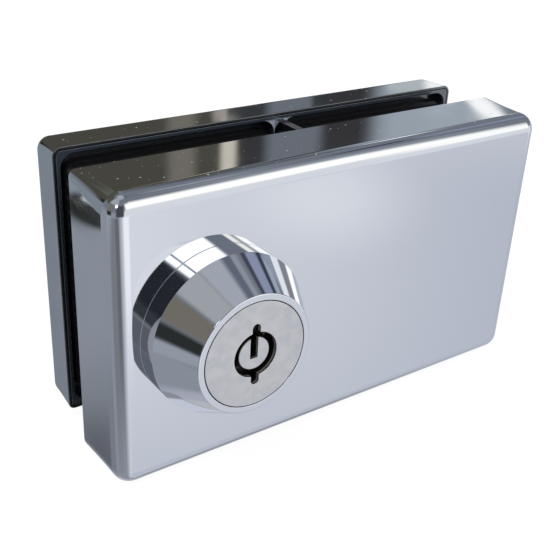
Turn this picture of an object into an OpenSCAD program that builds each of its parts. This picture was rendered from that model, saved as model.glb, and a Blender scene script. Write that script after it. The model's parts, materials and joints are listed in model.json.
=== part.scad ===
// Key-operated lock for frameless glass doors: two polished cases either side of two glass slots,
// with a turning key cylinder that drives a round bolt across the left slot.
// Lengths are in millimetres. Inside the modules y is counted from the front face towards the back.

/* [Front case] */
// Length of the front case
case_w = 110; // [104:1:130]
// Height of the front case
case_h = 63; // [58:1:80]
// Depth of the front case, from its face to the glass slot
case_d = 17; // [16.5:0.5:22]
// Radius of the rolled edge round the front face
case_edge_r = 3.8; // [2:0.2:6]
// How much larger the radius of the front case's four corners is than that of the rolled edge
case_corner_more = 0.2; // [0.1:0.1:3]
// Thickness of the drawn steel sheet of both covers
cover_t = 0.6; // [0.5:0.1:1.2]

/* [Rear case] */
// Length of the rear case
rear_w = 105.5; // [100:0.5:125]
// Height of the rear case
rear_h = 60; // [55:1:76]
// Depth of the rear case
rear_d = 9.8; // [9:0.2:14]
// Radius of the rolled edge round the back
rear_edge_r = 2.7; // [2:0.1:5]
// How much larger the radius of the rear case's four corners is than that of the rolled edge
rear_corner_more = 0.1; // [0.1:0.1:2]
// Height of the rear case's lower edge over that of the front case
rear_rise = 3.9; // [0:0.1:5]

/* [Glass slots] */
// Free width of the slots for the glass, between the two cases
slot_gap = 9.5; // [8:0.25:10]
// Distance of the centre web from the middle of the front case, towards the lock
web_offset = 1.3; // [0:0.1:3]
// Thickness of the centre web between the slots
web_t = 1.9; // [1.5:0.1:3]
// Depth of the pockets for the rubber pads
pad_pocket_d = 3; // [2.5:0.1:3.5]
// Width of the moulded bodies' plain rim round the pockets
rim_w = 0.8; // [0.5:0.1:1.5]
// Distance from one rib of a pad to the next
pad_rib_pitch = 2.9; // [2:0.1:4]

/* [Clamping] */
// Diameter of the two clamping screws
clamp_screw_d = 4; // [3:0.5:5]
// Distance between the two clamping screws
clamp_span = 31; // [26:1:36]
// Diameter of the two bosses of the centre web
boss_d = 8; // [7.5:0.1:9]

/* [Rose and cylinder] */
// Distance of the key axis from the left end of the front case
lock_inset = 22.2; // [21.5:0.1:23]
// Height of the key axis over the lower edge of the front case
lock_rise = 32.6; // [30:0.1:34]
// Diameter of the rose at its foot
rose_d = 34.2; // [32:0.2:36]
// Height of the straight band at the rose's foot
rose_band = 4.6; // [3.5:0.1:5.5]
// Diameter of the rose's front edge
rose_top_d = 24.8; // [24:0.1:28]
// Height of the rose over the front case
rose_h = 13.2; // [12.5:0.1:16]
// Diameter of the key cylinder's face
cylinder_d = 22; // [20:0.1:22.8]
// Outer diameter of the round keyway
keyway_d = 9.4; // [9.1:0.1:9.8]
// Diameter of the post in the keyway
post_d = 6.8; // [6:0.1:7]
// Width of the two notches beside the keyway
notch_w = 1.7; // [1.5:0.1:2.2]
// Distance from the key axis to the end of a notch
notch_reach = 6.5; // [6:0.1:7]
// Number of places round the keyway, one of them without a pin
pin_places = 8; // [7:1:8]
// Diameter of a tumbler pin
pin_d = 1.1; // [0.9:0.1:1.2]

/* [Bolt drive] */
// Diameter of the bolt
bolt_d = 14; // [13:0.5:15]
// Depth to which the thrown bolt enters the rear case
bolt_entry = 2.2; // [1.5:0.1:2.4]
// Angle through which the key turns
key_turn = 180; // [90:10:180]
// Diameter of the driving pin in the bolt's helical slot
drive_pin_d = 2.5; // [2:0.1:3]
// Wall of the hollow bolt
bolt_wall = 2; // [1.8:0.1:2.5]

/* [Hidden] */
$fn = 96;

// Clearances, and how far a cut runs past what it cuts
press_fit = 0.02;
seat_fit = 0.05;
run_fit = 0.06;
close_fit = 0.1;
loose_fit = 0.15;
open_fit = 0.3;
overlap = 0.1;
cut = 0.5;

// Depths from the front face
slot_back = case_d + slot_gap;
total_d = slot_back + rear_d;
front_face_y = (rose_h - total_d) / 2;
front_floor_y = case_d - pad_pocket_d;
rear_floor_y = slot_back + pad_pocket_d;
rear_inner_y = total_d - cover_t;

// Corners of the cases
case_corner_r = case_edge_r + case_corner_more;
rear_corner_r = rear_edge_r + rear_corner_more;

// Places along and up the case
web_x = -web_offset;
lock_x = lock_inset - case_w / 2;
boss_r = boss_d / 2;
boss_sink = 0.8;
boss_x = web_x + web_t / 2 + boss_r - boss_sink;
clamp_z = [case_h / 2 - clamp_span / 2, case_h / 2 + clamp_span / 2];
half_rib = web_t / 2 + seat_fit;
web_inset = 0.6;
front_top = case_h;
rear_bottom = rear_rise;
rear_top = rear_rise + rear_h;

// Pads
rim_edge = cover_t + loose_fit + rim_w;
pillar_wall = 1.5;
pocket_corner_r = 3;
moat_side = 1;
moat_top = 2.1;
pad_corner_r = 2.5;
pad_rib_r = 0.8;
pad_proud = 0.2;
pillar_r = boss_r + pillar_wall;

// Rose, nut and stem
stem_r = 14;
ledge_t = 2.7;
nut_t = 2.6;
nut_r = 16.3;
nut_slot_w = 2.5;
nut_slot_d = 1.2;
nut_y = cover_t + ledge_t;
stem_end_y = nut_y + nut_t + overlap;
lock_bore_r = nut_r + open_fit;
rose_bore_r = cylinder_d / 2 + loose_fit;
flange_proud = 1.1;
housing_flange_r = cylinder_d / 2 + flange_proud;
housing_flange_t = 2.4;
cylinder_len = 11.2;
housing_end_y = cylinder_len - rose_h;
shoulder_y = housing_end_y - housing_flange_t;

// Inside the cylinder
face_wall = 1.4;
lug_room = 1.6;
rotor_r = 5.84;
rotor_bore_r = rotor_r + run_fit;
rotor_y = face_wall + lug_room - rose_h;
rotor_t = 2.3;
post_sink = 0.6;
post_slot_w = 1.6;
post_slot_depth = 3.5;
post_slot_past = 1.1;
sleeve_y = rotor_y + rotor_t + seat_fit;
sleeve_end_y = housing_end_y - open_fit;
pin_circle_r = (keyway_d + post_d) / 4;
pin_bore_r = pin_d / 2 + seat_fit;
pin_fn = 24;
pin_proud = 1.2;
pin_tip = 0.25;
driver_len = 2;
spring_len = 2;
spring_wire = 0.22;
spring_turns = 5;
spring_sides = 5;
spring_steps = 8;
shaft_r = 2.4;
shaft_square = 3.4;
shaft_square_len = 4.8;
sleeve_pin_r = 0.5;
sleeve_pin_y = sleeve_end_y - sleeve_pin_r - loose_fit;
sleeve_pin_depth = 0.8;

// Bolt and its drive
bolt_r = bolt_d / 2;
bolt_nose_y = case_d - open_fit;
bolt_travel = slot_back + bolt_entry - bolt_nose_y;
bolt_nose_t = 2.1;
bolt_chamfer = 0.8;
bolt_end_wall = 1.25;
bolt_bore_r = bolt_r - bolt_wall;
bolt_bore_end_y = bolt_nose_y - bolt_nose_t;
tail_r = bolt_bore_r - run_fit;
tail_y = sleeve_end_y + overlap;
tail_end_y = bolt_bore_end_y - open_fit;
tail_pin_r = 0.8;
pin_inset = 0.2;
tail_pin_y = tail_y + shaft_square_len / 2;
drive_pin_r = drive_pin_d / 2;
slot_half = drive_pin_r + loose_fit;
slot_tool_past = 0.3;
slot_step = 6;
drive_pin_y = bolt_bore_end_y - slot_half - seat_fit - pin_inset;
bolt_front_y = max(drive_pin_y - bolt_travel - slot_half - bolt_end_wall, housing_end_y + open_fit);
guide_r = bolt_r + run_fit;
guide_wall = 2.8;
guide_spigot_r = housing_flange_r;
guide_spigot_end_y = stem_end_y - 3;
guide_barrel_r = bolt_r + guide_wall;
guide_flange_r = nut_r + close_fit;
guide_flange_t = 2.5;
guide_pin_r = 1;
groove_depth = 0.9;
plate_t = 1.6;
plate_half = 18.5;
plate_corner_r = 3;
plate_y = front_floor_y - plate_t;
guide_flange_y = plate_y - guide_flange_t;
guide_pin_y = guide_flange_y + guide_flange_t / 2;
plate_screw_r = 1.25;
plate_screw_head_r = 2.4;
plate_screw_len = 8;
plate_screw_at = 15.2;
cross_w = 0.5;
cross_len = 2.6;
cross_depth = 1.4;
pad_hole_play = 0.8;
pad_hole_r = bolt_r + pad_hole_play;

// Rear socket for the bolt
socket_wall = 1.9;
socket_floor = 0.8;
socket_inset = 0.2;
socket_len = 5.6;
socket_bore_r = bolt_r + open_fit;
socket_r = socket_bore_r + socket_wall;
socket_y = slot_back + socket_inset;
socket_pillar_r = socket_r + pillar_wall;

// Clamping screws
clamp_r = clamp_screw_d / 2;
clamp_play = 0.2;
clamp_hole_r = clamp_r + clamp_play;
clamp_head_r = clamp_r * 1.8;
clamp_head_t = clamp_screw_d * 0.8;
clamp_head_gap = 0.6;
clamp_seat_y = rear_inner_y - clamp_head_t - clamp_head_gap;
insert_wall = 0.9;
insert_r = clamp_r + insert_wall;
insert_y = 5;
insert_well = 1;
boss_seat = 2;
insert_end_y = case_d - boss_seat;
hex_key_r = clamp_r * 0.8;
hex_key_share = 0.55;

// Ribs inside the moulded bodies
core_wall = 2.2;
core_floor = 2.5;
core_margin = 4.5;
core_corner_r = 2;

// Colours
steel = [0.80, 0.82, 0.85];
chrome = [0.88, 0.90, 0.93];
satin = [0.76, 0.75, 0.73];
brass = [0.80, 0.66, 0.36];
dark_steel = [0.45, 0.46, 0.48];
black_plastic = [0.10, 0.10, 0.11];
black_rubber = [0.05, 0.05, 0.05];

// Frames and simple forms

// Puts what is counted from the front face into the part's own frame
module place() {
    translate([0, front_face_y, 0]) children();
}

// Extrudes an outline drawn in x and z from depth y0 to depth y1
module slab(y0, y1) {
    translate([0, y1, 0]) rotate([90, 0, 0]) linear_extrude(height = y1 - y0) children();
}

// Turns a revolved form so that its own z axis is the key axis, towards the back
module on_key_axis() {
    translate([lock_x, 0, lock_rise]) rotate([-90, 0, 0]) children();
}

// A round rod along the key axis from depth y0 to depth y1
module rod(r, y0, y1) {
    on_key_axis() translate([0, 0, y0]) cylinder(r = r, h = y1 - y0);
}

// A pin that stands square to the key axis, at an angle counted clockwise from the right
module radial_rod(r, from_r, to_r, y, angle) {
    on_key_axis() translate([0, 0, y]) rotate([0, 0, angle]) rotate([0, 90, 0])
        translate([0, 0, from_r]) cylinder(r = r, h = to_r - from_r);
}

// A rod along y at a place in x and z
module rod_at(x, z, r, y0, y1) {
    translate([x, y1, z]) rotate([90, 0, 0]) cylinder(r = r, h = y1 - y0);
}

// A rectangle with round corners, from its four sides
module round_rect(x0, x1, z0, z1, r) {
    translate([x0 + r, z0]) square([x1 - x0 - 2 * r, z1 - z0]);
    translate([x0, z0 + r]) square([x1 - x0, z1 - z0 - 2 * r]);
    for (x = [x0 + r, x1 - r], z = [z0 + r, z1 - r]) translate([x, z]) circle(r = r);
}

// Side view of a case: an open end and, at depth 0, two round edges
module edge_profile(size, depth, r) {
    translate([-size / 2, r]) square([size, depth - r]);
    translate([r - size / 2, 0]) square([size - 2 * r, depth]);
    for (side = [-1, 1]) translate([side * (size / 2 - r), r]) circle(r = r);
}

// Half section of a case's corner, round at depth 0
module corner_profile(depth, edge_r, corner_r) {
    translate([0, edge_r]) square([corner_r, depth - edge_r]);
    square([corner_r - edge_r, depth]);
    intersection() {
        translate([corner_r - edge_r, edge_r]) circle(r = edge_r);
        square([corner_r, edge_r]);
    }
}

// A box whose closed face has round edges that blend into its round corners
module case_form(w, h, depth, edge_r, corner_r) {
    translate([0, 0, corner_r]) linear_extrude(height = h - 2 * corner_r)
        edge_profile(w, depth, edge_r);
    translate([w / 2 - corner_r, 0, h / 2]) rotate([0, -90, 0])
        linear_extrude(height = w - 2 * corner_r) edge_profile(h, depth, edge_r);
    for (x = [corner_r - w / 2, w / 2 - corner_r], z = [corner_r, h - corner_r])
        translate([x, 0, z]) rotate([-90, 0, 0]) rotate_extrude()
            corner_profile(depth, edge_r, corner_r);
}

// The case's form drawn in by a margin on the sides and by a step at the closed face
module inner_form(w, h, depth, edge_r, corner_r, margin, step) {
    least_r = 0.5;
    inner_edge_r = max(edge_r - margin, least_r);
    translate([0, step, margin])
        case_form(w - 2 * margin, h - 2 * margin, depth - step, inner_edge_r,
            inner_edge_r + corner_r - edge_r);
}

// Turns a form that opens to the back into the rear case's place
module as_rear() {
    translate([web_x, total_d, rear_rise]) mirror([0, 1, 0]) children();
}

// Outline of the two pockets of a body, left of the web and right of it
module pocket_outline(left_x, right_x, bottom, top) {
    z0 = bottom + rim_edge;
    z1 = top - rim_edge;
    round_rect(left_x + rim_edge, web_x - half_rib, z0, z1, pocket_corner_r);
    round_rect(web_x + half_rib, right_x - rim_edge, z0, z1, pocket_corner_r);
}

// What stands up round the web's bosses, in outline
module pillar_outline(r) {
    for (z = clamp_z) translate([boss_x, z]) circle(r = r);
}

// A rubber pad with ribs along x: seat is the pocket's floor, way is 1 towards the back
module ribbed_pad(x0, x1, z0, z1, seat, way) {
    thick = pad_pocket_d + pad_proud;
    ribs = floor((z1 - z0 - 2 * pad_rib_r) / pad_rib_pitch);
    start = (z0 + z1 - ribs * pad_rib_pitch) / 2;
    intersection() {
        slab(min(seat, seat + way * (thick + cut)), max(seat, seat + way * (thick + cut)))
            round_rect(x0, x1, z0, z1, pad_corner_r);
        translate([x0 - cut, 0, 0]) rotate([90, 0, 90]) linear_extrude(height = x1 - x0 + 2 * cut)
            translate([seat, 0]) mirror([way < 0 ? 1 : 0, 0]) {
                translate([0, z0 - cut]) square([thick - pad_rib_r, z1 - z0 + 2 * cut]);
                for (i = [0 : ribs]) translate([thick - pad_rib_r, start + i * pad_rib_pitch])
                    circle(r = pad_rib_r);
            }
    }
}

// A screw along y with a round head to the back and a hexagon for its key
module cap_screw(x, z, r, head_r, head_t, seat, tip, key_r) {
    difference() {
        union() {
            rod_at(x, z, r, tip, seat + overlap);
            rod_at(x, z, head_r, seat, seat + head_t);
        }
        translate([x, seat + head_t + cut, z]) rotate([90, 0, 0])
            cylinder(r = key_r, h = head_t * hex_key_share + cut, $fn = 6);
    }
}

// A countersunk screw along y with its flat head to the back
module flat_screw(x, z) {
    difference() {
        union() {
            rod_at(x, z, plate_screw_r, front_floor_y - plate_screw_len, front_floor_y - overlap);
            translate([x, front_floor_y, z]) rotate([90, 0, 0])
                cylinder(r1 = plate_screw_head_r, r2 = plate_screw_r,
                    h = plate_screw_head_r - plate_screw_r);
        }
        for (turn = [0, 90]) translate([x, front_floor_y, z]) rotate([0, turn, 0])
            cube([cross_w, cross_depth, cross_len], center = true);
    }
}

// The four places of the screws in the back plate
module plate_corners() {
    for (dx = [-1, 1], dz = [-1, 1])
        translate([lock_x + dx * plate_screw_at, 0, lock_rise + dz * plate_screw_at]) children();
}

// Covers

module front_cover() {
    color(steel) place() difference() {
        case_form(case_w, case_h, case_d, case_edge_r, case_corner_r);
        inner_form(case_w, case_h, case_d + cut, case_edge_r, case_corner_r, cover_t, cover_t);
        rod(stem_r + loose_fit, -cut, cover_t + cut);
    }
}

module rear_cover() {
    color(steel) place() as_rear() difference() {
        case_form(rear_w, rear_h, rear_d, rear_edge_r, rear_corner_r);
        inner_form(rear_w, rear_h, rear_d + cut, rear_edge_r, rear_corner_r, cover_t, cover_t);
    }
}

// Moulded bodies inside the covers

// Hollows that are moulded into the front of the front body, behind the cover
module front_cores() {
    left = web_x + 2 * core_wall;
    right = case_w / 2 - core_margin;
    middle = (left + right) / 2;
    xs = [left, middle - core_wall / 2, middle + core_wall / 2, right];
    zs = [core_margin, case_h / 2 - core_wall / 2, case_h / 2 + core_wall / 2, case_h - core_margin];
    slab(cover_t - cut, front_floor_y - core_floor) difference() {
        for (i = [0, 2], k = [0, 2]) round_rect(xs[i], xs[i + 1], zs[k], zs[k + 1], core_corner_r);
        pillar_outline(pillar_r);
    }
}

module front_body() {
    color(black_plastic) place() difference() {
        inner_form(case_w, case_h, case_d, case_edge_r, case_corner_r, cover_t + loose_fit, cover_t);
        rod(stem_r + loose_fit, cover_t - cut, nut_y + cut);
        rod(lock_bore_r, nut_y, plate_y + cut);
        slab(plate_y, front_floor_y + cut) round_rect(lock_x - plate_half - loose_fit,
            lock_x + plate_half + loose_fit, lock_rise - plate_half - loose_fit,
            lock_rise + plate_half + loose_fit, plate_corner_r);
        plate_corners() rod_at(0, 0, plate_screw_r + seat_fit,
            front_floor_y - plate_screw_len - cut, plate_y + cut);
        slab(front_floor_y, case_d + cut) difference() {
            pocket_outline(-case_w / 2, case_w / 2, 0, front_top);
            pillar_outline(pillar_r);
        }
        for (z = clamp_z) {
            rod_at(boss_x, z, boss_r + close_fit, insert_end_y, case_d + cut);
            rod_at(boss_x, z, insert_r, insert_y - insert_well, insert_end_y + cut);
        }
        front_cores();
    }
}

// Hollows that are moulded into the back of the rear body, behind the cover
module rear_cores() {
    middle = rear_bottom + rear_h / 2;
    xs = [web_x - rear_w / 2 + core_margin, web_x - core_wall,
        web_x + core_wall, web_x + rear_w / 2 - core_margin];
    zs = [rear_bottom + core_margin, middle - core_wall / 2,
        middle + core_wall / 2, rear_top - core_margin];
    slab(rear_floor_y + core_floor, rear_inner_y + cut) difference() {
        for (i = [0, 2], k = [0, 2]) round_rect(xs[i], xs[i + 1], zs[k], zs[k + 1], core_corner_r);
        pillar_outline(clamp_head_r + core_wall);
        translate([lock_x, lock_rise]) circle(r = socket_pillar_r);
    }
}

module rear_body() {
    color(black_plastic) place() difference() {
        as_rear() inner_form(rear_w, rear_h, rear_d, rear_edge_r, rear_corner_r,
            cover_t + loose_fit, cover_t);
        slab(slot_back - cut, rear_floor_y) difference() {
            pocket_outline(web_x - rear_w / 2, web_x + rear_w / 2, rear_bottom, rear_top);
            pillar_outline(pillar_r);
            translate([lock_x, lock_rise]) circle(r = socket_pillar_r);
        }
        rod(socket_r, slot_back - cut, socket_y + socket_len);
        for (z = clamp_z) {
            rod_at(boss_x, z, boss_r + close_fit, slot_back - cut, slot_back + boss_seat);
            rod_at(boss_x, z, clamp_hole_r, slot_back, rear_inner_y);
            rod_at(boss_x, z, clamp_head_r + clamp_play, clamp_seat_y, rear_inner_y + cut);
        }
        rear_cores();
    }
}

// Rubber pads

module front_pad_left() {
    color(black_rubber) place() difference() {
        ribbed_pad(-case_w / 2 + rim_edge + moat_side, web_x - half_rib - moat_side,
            rim_edge + moat_top, front_top - rim_edge - moat_top, front_floor_y, 1);
        rod(pad_hole_r, front_floor_y - cut, case_d + cut);
    }
}

module front_pad_right() {
    color(black_rubber) place() difference() {
        ribbed_pad(web_x + half_rib + moat_side, case_w / 2 - rim_edge - moat_side,
            rim_edge + moat_top, front_top - rim_edge - moat_top, front_floor_y, 1);
        slab(front_floor_y - cut, case_d + cut) pillar_outline(pillar_r + moat_side);
    }
}

module rear_pad_left() {
    color(black_rubber) place() difference() {
        ribbed_pad(web_x - rear_w / 2 + rim_edge + moat_side, web_x - half_rib - moat_side,
            rear_bottom + rim_edge + moat_top, rear_top - rim_edge - moat_top, rear_floor_y, -1);
        rod(socket_pillar_r + moat_side, slot_back - cut, rear_floor_y + cut);
    }
}

module rear_pad_right() {
    color(black_rubber) place() difference() {
        ribbed_pad(web_x + half_rib + moat_side, web_x + rear_w / 2 - rim_edge - moat_side,
            rear_bottom + rim_edge + moat_top, rear_top - rim_edge - moat_top, rear_floor_y, -1);
        slab(slot_back - cut, rear_floor_y + cut) pillar_outline(pillar_r + moat_side);
    }
}

// Centre web and clamping

module centre_web() {
    web_top = min(front_top, rear_top) - web_inset;
    web_bottom = max(0, rear_bottom) + web_inset;
    color(satin) place() difference() {
        union() {
            translate([web_x - web_t / 2, case_d, web_bottom])
                cube([web_t, slot_gap, web_top - web_bottom]);
            for (z = clamp_z)
                rod_at(boss_x, z, boss_r, insert_end_y, slot_back + boss_seat);
        }
        for (z = clamp_z)
            rod_at(boss_x, z, clamp_hole_r, insert_end_y - cut, slot_back + boss_seat + cut);
    }
}

module thread_inserts() {
    color(brass) place() for (z = clamp_z) difference() {
        rod_at(boss_x, z, insert_r, insert_y, insert_end_y);
        rod_at(boss_x, z, clamp_r, insert_y - cut, insert_end_y + cut);
    }
}

module clamp_screws() {
    color(dark_steel) place() for (z = clamp_z)
        cap_screw(boss_x, z, clamp_r, clamp_head_r, clamp_head_t, clamp_seat_y,
            insert_y + insert_well, hex_key_r);
}

// Rose and cylinder

module rose() {
    color(chrome) place() on_key_axis() rotate_extrude() polygon([
        [rose_bore_r, -rose_h],
        [rose_top_d / 2, -rose_h],
        [rose_d / 2, -rose_band],
        [rose_d / 2, 0],
        [stem_r, 0],
        [stem_r, stem_end_y],
        [housing_flange_r + close_fit, stem_end_y],
        [housing_flange_r + close_fit, shoulder_y],
        [rose_bore_r, shoulder_y]
    ]);
}

module rose_nut() {
    color(brass) place() on_key_axis() translate([0, 0, nut_y]) difference() {
        cylinder(r = nut_r, h = nut_t);
        translate([0, 0, -cut]) cylinder(r = stem_r + press_fit, h = nut_t + 2 * cut);
        for (turn = [45 : 90 : 315]) rotate([0, 0, turn])
            translate([nut_r, 0, nut_t / 2])
                cube([2 * nut_slot_d, nut_slot_w, nut_t + 2 * cut], center = true);
    }
}

// Outline of one keyway notch, from the axis outwards along +y
module notch_outline() {
    translate([-notch_w / 2, 0]) square([notch_w, notch_reach - notch_w / 2]);
    translate([0, notch_reach - notch_w / 2]) circle(r = notch_w / 2);
}

module cylinder_housing() {
    color(satin) place() difference() {
        on_key_axis() rotate_extrude() polygon([
            [0, -rose_h],
            [cylinder_d / 2, -rose_h],
            [cylinder_d / 2, shoulder_y],
            [housing_flange_r, shoulder_y],
            [housing_flange_r, housing_end_y],
            [0, housing_end_y]
        ]);
        rod(keyway_d / 2, -rose_h - cut, rotor_y);
        on_key_axis() translate([0, 0, -rose_h - cut]) linear_extrude(height = face_wall + 2 * cut)
            for (turn = [180, 180 + key_turn]) rotate(turn) notch_outline();
        rod(notch_reach + close_fit, face_wall - rose_h, rotor_y);
        rod(rotor_bore_r, rotor_y - overlap, housing_end_y + cut);
        radial_rod(sleeve_pin_r, 0, housing_flange_r + cut, sleeve_pin_y, 90);
    }
}

// Repeats what it is given at each tumbler place, leaving out the one at the top
module pin_ring() {
    on_key_axis() for (i = [1 : pin_places - 1]) rotate([0, 0, i * 360 / pin_places - 90])
        translate([pin_circle_r, 0, 0]) children();
}

module pin_sleeve() {
    color(brass) place() difference() {
        rod(rotor_bore_r - press_fit, sleeve_y, sleeve_end_y);
        rod(shaft_r + run_fit, sleeve_y - cut, sleeve_end_y + cut);
        pin_ring() translate([0, 0, sleeve_y - cut])
            cylinder(r = pin_bore_r, h = driver_len + spring_len + close_fit + cut, $fn = pin_fn);
        radial_rod(sleeve_pin_r, shaft_r + sleeve_pin_depth, rotor_bore_r + cut, sleeve_pin_y, 90);
    }
}

module sleeve_pin() {
    color(dark_steel) place()
        radial_rod(sleeve_pin_r - press_fit, shaft_r + sleeve_pin_depth + close_fit,
            housing_flange_r - pin_inset, sleeve_pin_y, 90);
}

module driver_pins() {
    color(brass) place() pin_ring() translate([0, 0, sleeve_y])
        cylinder(r = pin_d / 2, h = driver_len, $fn = pin_fn);
}

// Points of one round wire wound about z
function coil_points(r, wire_r, length, turns, sides, steps) = [
    for (i = [0 : steps], k = [0 : sides - 1])
        let (a = 360 * turns * i / steps, b = 360 * k / sides)
            [(r + wire_r * cos(b)) * cos(a), (r + wire_r * cos(b)) * sin(a),
                wire_r * sin(b) + length * i / steps]
];

// Faces of a closed tube whose rings hold the same number of points
function tube_faces(sides, rings) = concat(
    [[for (k = [0 : sides - 1]) sides - 1 - k]],
    [for (i = [0 : rings - 2], k = [0 : sides - 1]) let (n = (k + 1) % sides)
        [i * sides + k, (i + 1) * sides + n, (i + 1) * sides + k]],
    [for (i = [0 : rings - 2], k = [0 : sides - 1]) let (n = (k + 1) % sides)
        [i * sides + k, i * sides + n, (i + 1) * sides + n]],
    [[for (k = [0 : sides - 1]) (rings - 1) * sides + k]]
);

module pin_springs() {
    steps = spring_turns * spring_steps;
    wire_r = spring_wire / 2;
    color(steel) place() pin_ring()
        translate([0, 0, sleeve_y + driver_len + wire_r + press_fit])
            polyhedron(
                coil_points(pin_d / 2 - wire_r, wire_r, spring_len - spring_wire, spring_turns,
                    spring_sides, steps),
                tube_faces(spring_sides, steps + 1));
}

// Parts that turn with the key

module key_spindle() {
    color(satin) place() difference() {
        union() {
            rod(post_d / 2, -rose_h + post_sink, rotor_y + overlap);
            rod(rotor_r, rotor_y + seat_fit, rotor_y + rotor_t);
            rod(shaft_r, rotor_y + rotor_t - overlap, tail_y);
            on_key_axis() translate([0, 0, tail_y + (shaft_square_len - overlap) / 2])
                cube([shaft_square, shaft_square, shaft_square_len + overlap], center = true);
        }
        pin_ring() translate([0, 0, rotor_y - cut])
            cylinder(r = pin_bore_r, h = rotor_t + 2 * cut, $fn = pin_fn);
        on_key_axis() translate([-post_slot_w / 2, -post_d, -rose_h - cut])
            cube([post_slot_w, post_d + post_slot_past, post_slot_depth + cut]);
        radial_rod(tail_pin_r, -shaft_square, shaft_square, tail_pin_y, 90);
    }
}

module key_pins() {
    color(brass) place() pin_ring() translate([0, 0, rotor_y - pin_proud]) {
        cylinder(r1 = pin_d / 2 - pin_tip, r2 = pin_d / 2, h = pin_tip, $fn = pin_fn);
        translate([0, 0, pin_tip])
            cylinder(r = pin_d / 2, h = rotor_t + pin_proud - pin_tip, $fn = pin_fn);
    }
}

module drive_tail() {
    square_cut = shaft_square + close_fit;
    square_well = shaft_square_len + close_fit;
    color(dark_steel) place() difference() {
        rod(tail_r, tail_y, tail_end_y);
        on_key_axis() translate([0, 0, tail_y + (square_well - cut) / 2])
            cube([square_cut, square_cut, square_well + cut], center = true);
        radial_rod(tail_pin_r, -tail_r - cut, tail_r + cut, tail_pin_y, 90);
        radial_rod(drive_pin_r, -drive_pin_r, tail_r + cut, drive_pin_y, 0);
    }
}

module tail_pin() {
    color(steel) place() radial_rod(tail_pin_r - press_fit, pin_inset - tail_r, tail_r - pin_inset,
        tail_pin_y, 90);
}

module drive_pin() {
    color(steel) place()
        radial_rod(drive_pin_r - press_fit, close_fit - drive_pin_r, bolt_r - pin_inset,
            drive_pin_y, 0);
}

// Bolt and its guide

// Ring of four points of the helical slot's tool, at a share of the key's turn
function slot_ring(share) =
    let (a = key_turn * share, y = drive_pin_y - bolt_travel * share,
        inner = bolt_bore_r - slot_tool_past, outer = bolt_r + slot_tool_past)
    [for (p = [[inner, -1], [outer, -1], [outer, 1], [inner, 1]])
        let (slope = bolt_travel * 360 / key_turn / (2 * PI * p[0]))
            [p[0] * cos(a), p[0] * sin(a), y + p[1] * slot_half * sqrt(1 + slope * slope)]];

// Tool that cuts the helical slot, with a round end at both limits of the key's turn
module helical_slot() {
    steps = ceil(key_turn / slot_step);
    on_key_axis() polyhedron(
        [for (i = [0 : steps], p = slot_ring(i / steps)) p],
        tube_faces(4, steps + 1));
    for (share = [0, 1]) radial_rod(slot_half, bolt_bore_r - 1, bolt_r + 1,
        drive_pin_y - bolt_travel * share, key_turn * share);
}

module bolt() {
    color(steel) place() difference() {
        on_key_axis() rotate_extrude() polygon([
            [bolt_bore_r, bolt_front_y],
            [bolt_r, bolt_front_y],
            [bolt_r, bolt_nose_y - bolt_chamfer],
            [bolt_r - bolt_chamfer, bolt_nose_y],
            [0, bolt_nose_y],
            [0, bolt_bore_end_y],
            [bolt_bore_r, bolt_bore_end_y]
        ]);
        helical_slot();
        on_key_axis() translate([-guide_pin_r - close_fit, -bolt_r - cut, bolt_front_y - cut])
            cube([2 * (guide_pin_r + close_fit), groove_depth + cut,
                guide_pin_y + guide_pin_r + open_fit - bolt_front_y + cut]);
    }
}

module bolt_guide() {
    color(brass) place() difference() {
        on_key_axis() rotate_extrude() polygon([
            [guide_r, housing_end_y],
            [guide_spigot_r, housing_end_y],
            [guide_spigot_r, guide_spigot_end_y],
            [guide_barrel_r, guide_spigot_end_y],
            [guide_barrel_r, guide_flange_y],
            [guide_flange_r, guide_flange_y],
            [guide_flange_r, plate_y],
            [guide_r, plate_y]
        ]);
        radial_rod(guide_pin_r + press_fit, bolt_r - cut, guide_flange_r - pin_inset + close_fit,
            guide_pin_y, -90);
    }
}

module guide_pin() {
    color(dark_steel) place()
        radial_rod(guide_pin_r, bolt_r - groove_depth + loose_fit, guide_flange_r - pin_inset,
            guide_pin_y, -90);
}

module back_plate() {
    color(dark_steel) place() difference() {
        slab(plate_y, front_floor_y) round_rect(lock_x - plate_half, lock_x + plate_half,
            lock_rise - plate_half, lock_rise + plate_half, plate_corner_r);
        rod(bolt_r + open_fit, plate_y - cut, front_floor_y + cut);
        plate_corners() {
            rod_at(0, 0, plate_screw_r + close_fit, plate_y - cut, front_floor_y + cut);
            translate([0, front_floor_y + press_fit, 0]) rotate([90, 0, 0])
                cylinder(r1 = plate_screw_head_r + seat_fit, r2 = plate_screw_r + seat_fit,
                    h = plate_screw_head_r - plate_screw_r);
        }
    }
}

module plate_screws() {
    color(steel) place() plate_corners() flat_screw(0, 0);
}

module bolt_socket() {
    color(dark_steel) place() difference() {
        rod(socket_r, socket_y, socket_y + socket_len);
        rod(socket_bore_r, socket_y - cut, socket_y + socket_len - socket_floor);
    }
}

front_cover();
front_body();
front_pad_left();
front_pad_right();
rose();
rose_nut();
cylinder_housing();
pin_sleeve();
sleeve_pin();
driver_pins();
pin_springs();
key_spindle();
key_pins();
drive_tail();
tail_pin();
drive_pin();
bolt();
bolt_guide();
guide_pin();
back_plate();
plate_screws();
centre_web();
thread_inserts();
clamp_screws();
rear_cover();
rear_body();
rear_pad_left();
rear_pad_right();
bolt_socket();
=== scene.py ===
"""Looks of a clamp-on key lock for frameless glass doors, laid over its fixed CAD frame."""

import json
import math

import bmesh
import bpy
from mathutils import Matrix, Vector
from mathutils.geometry import tessellate_polygon


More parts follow.
